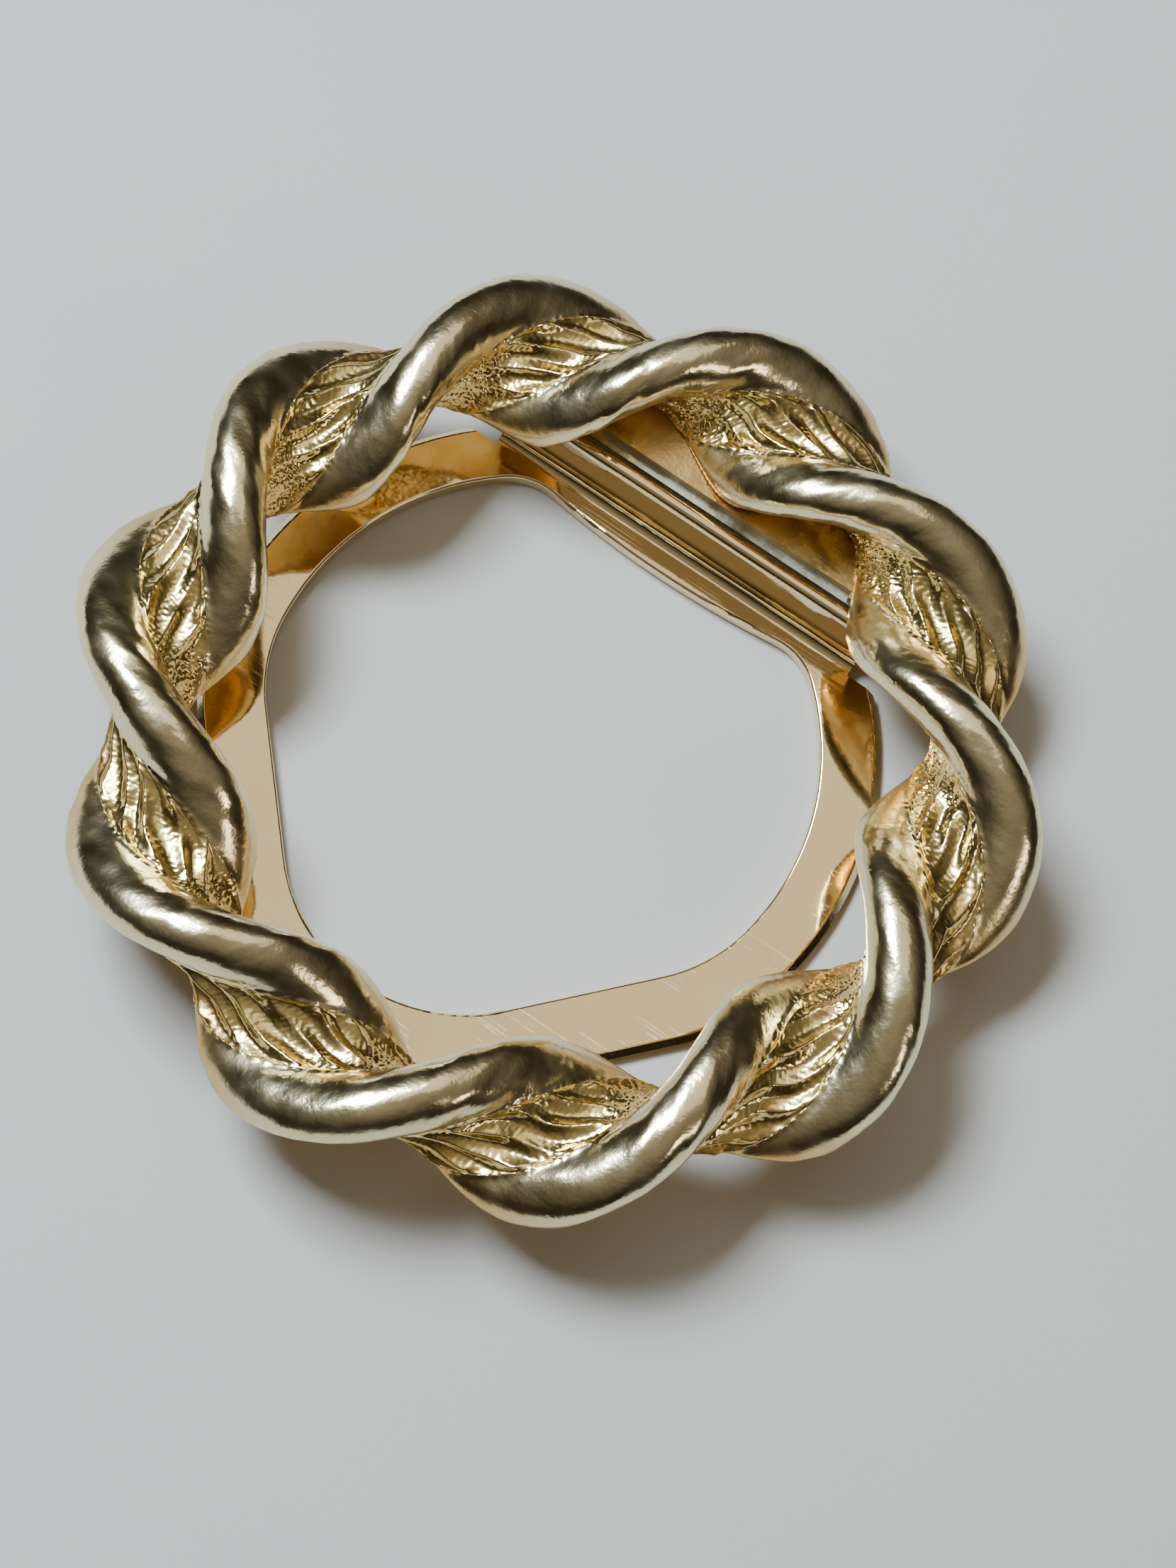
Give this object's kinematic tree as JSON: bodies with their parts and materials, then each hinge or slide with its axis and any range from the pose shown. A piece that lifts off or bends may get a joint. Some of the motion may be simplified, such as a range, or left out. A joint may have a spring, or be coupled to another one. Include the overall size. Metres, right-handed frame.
{
  "type": "scarf ring clip",
  "caption": "Gold-tone scarf clip: a round cast ring twisted like two-strand rope, with a flat open back plate hinged behind it on a spring-loaded pin.",
  "frame": {"origin": "on the back plate's resting face, on the twisted ring's own axis", "axes": "+Z out of the decorative front, +Y towards the hinge, X along the hinge pin"},
  "size_m": [0.0438, 0.045, 0.0088],
  "materials": {
    "gold_casting": "polished pale gold plating over a casting, soft orange peel on the strands",
    "gold_mirror": "mirror-polished gold-plated sheet with fine scratches",
    "gold_hardware": "gold-plated sheet and rivets, lightly brushed",
    "spring_steel": "bright spring steel"
  },
  "bodies": {
    "clip_front": {"ring_casting": "gold_casting", "hinge_cradle": "gold_hardware", "leaf_spring": "spring_steel", "cradle_rivets": "gold_hardware", "spring_rivet": "gold_hardware", "hinge_pin": "gold_hardware"},
    "back_frame": {"back_plate": "gold_mirror"}
  },
  "joints": [
    {"name": "plate_hinge", "type": "hinge", "parent": "back_frame", "child": "clip_front", "pos_m": [-0.0011, 0.015, 0.00205], "axis": [-1, 0, 0], "range_deg": [0, 85]}
  ]
}
